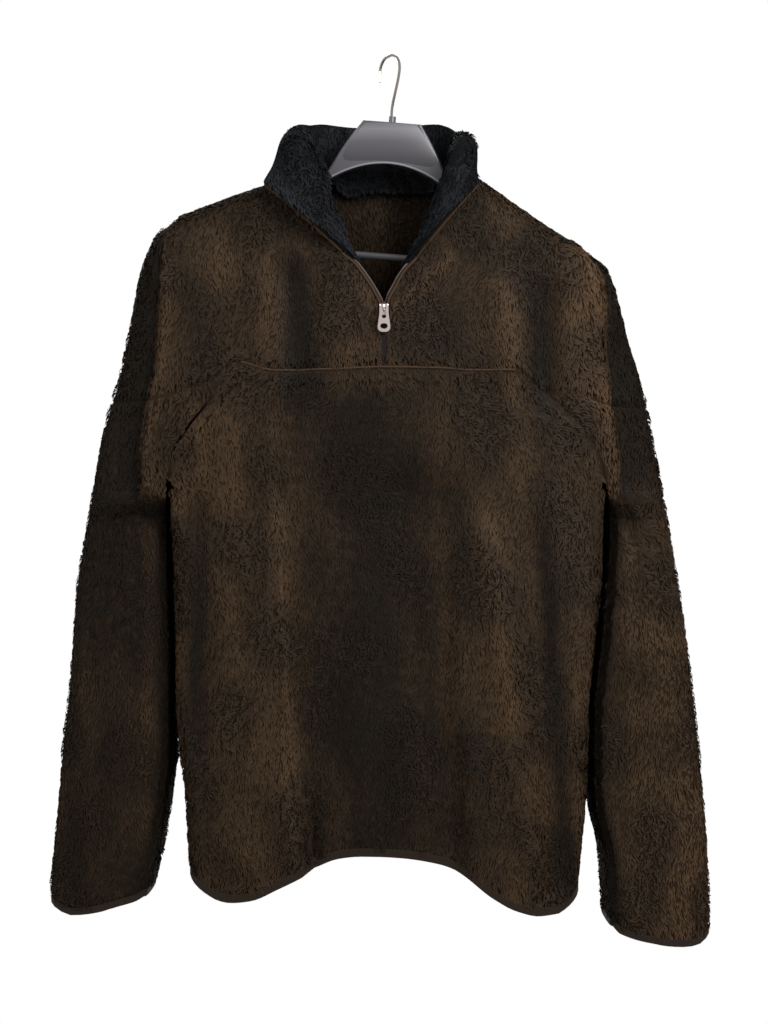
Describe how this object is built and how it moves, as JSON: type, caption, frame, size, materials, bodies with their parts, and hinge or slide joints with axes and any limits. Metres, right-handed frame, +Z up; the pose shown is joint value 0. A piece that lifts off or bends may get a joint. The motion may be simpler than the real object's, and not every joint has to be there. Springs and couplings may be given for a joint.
{
  "type": "quarter-zip fleece pullover on a hanger",
  "caption": "Dark brown long-pile fleece pullover with a zipped stand collar lined in black, hanging on a grey plastic hanger with a wire hook",
  "frame": {"origin": "inside of the top of the hanger's hook, where a rail or wall hook holds it", "axes": "+Z up, -Y the front of the garment, +X to the right of someone who looks at the front"},
  "size_m": [0.6595, 0.1391, 0.8884],
  "materials": {
    "brown_fleece": "long soft pile",
    "black_fleece": "long soft pile",
    "brown_binding": "folded smooth edge",
    "zip_tape": "woven tape",
    "zip_metal": "plated, lightly worn",
    "hanger_plastic": "moulded, low gloss",
    "hook_wire": "bright wire"
  },
  "bodies": {
    "garment": {"front_body": "brown_fleece", "back_body": "brown_fleece", "yoke_left": "brown_fleece", "yoke_right": "brown_fleece", "sleeve_left": "brown_fleece", "sleeve_right": "brown_fleece", "collar": "brown_fleece", "collar_lining": "black_fleece", "hem_binding": "brown_binding", "cuff_binding_left": "brown_binding", "cuff_binding_right": "brown_binding", "zip_tape_left": "zip_tape", "zip_tape_right": "zip_tape", "zip_chain": "zip_metal", "zip_slider": "zip_metal", "zip_bail": "zip_metal", "hanger_body": "hanger_plastic", "hanger_bar": "hanger_plastic", "hook_socket": "hanger_plastic", "hanger_hook": "hook_wire"},
    "pull": {"zip_pull": "zip_metal"}
  },
  "joints": [
    {"name": "pull_swing", "type": "hinge", "parent": "garment", "child": "pull", "pos_m": [-0.004, -0.06128, -0.257], "axis": [-1, 0, 0], "range_deg": [0, 160]}
  ]
}
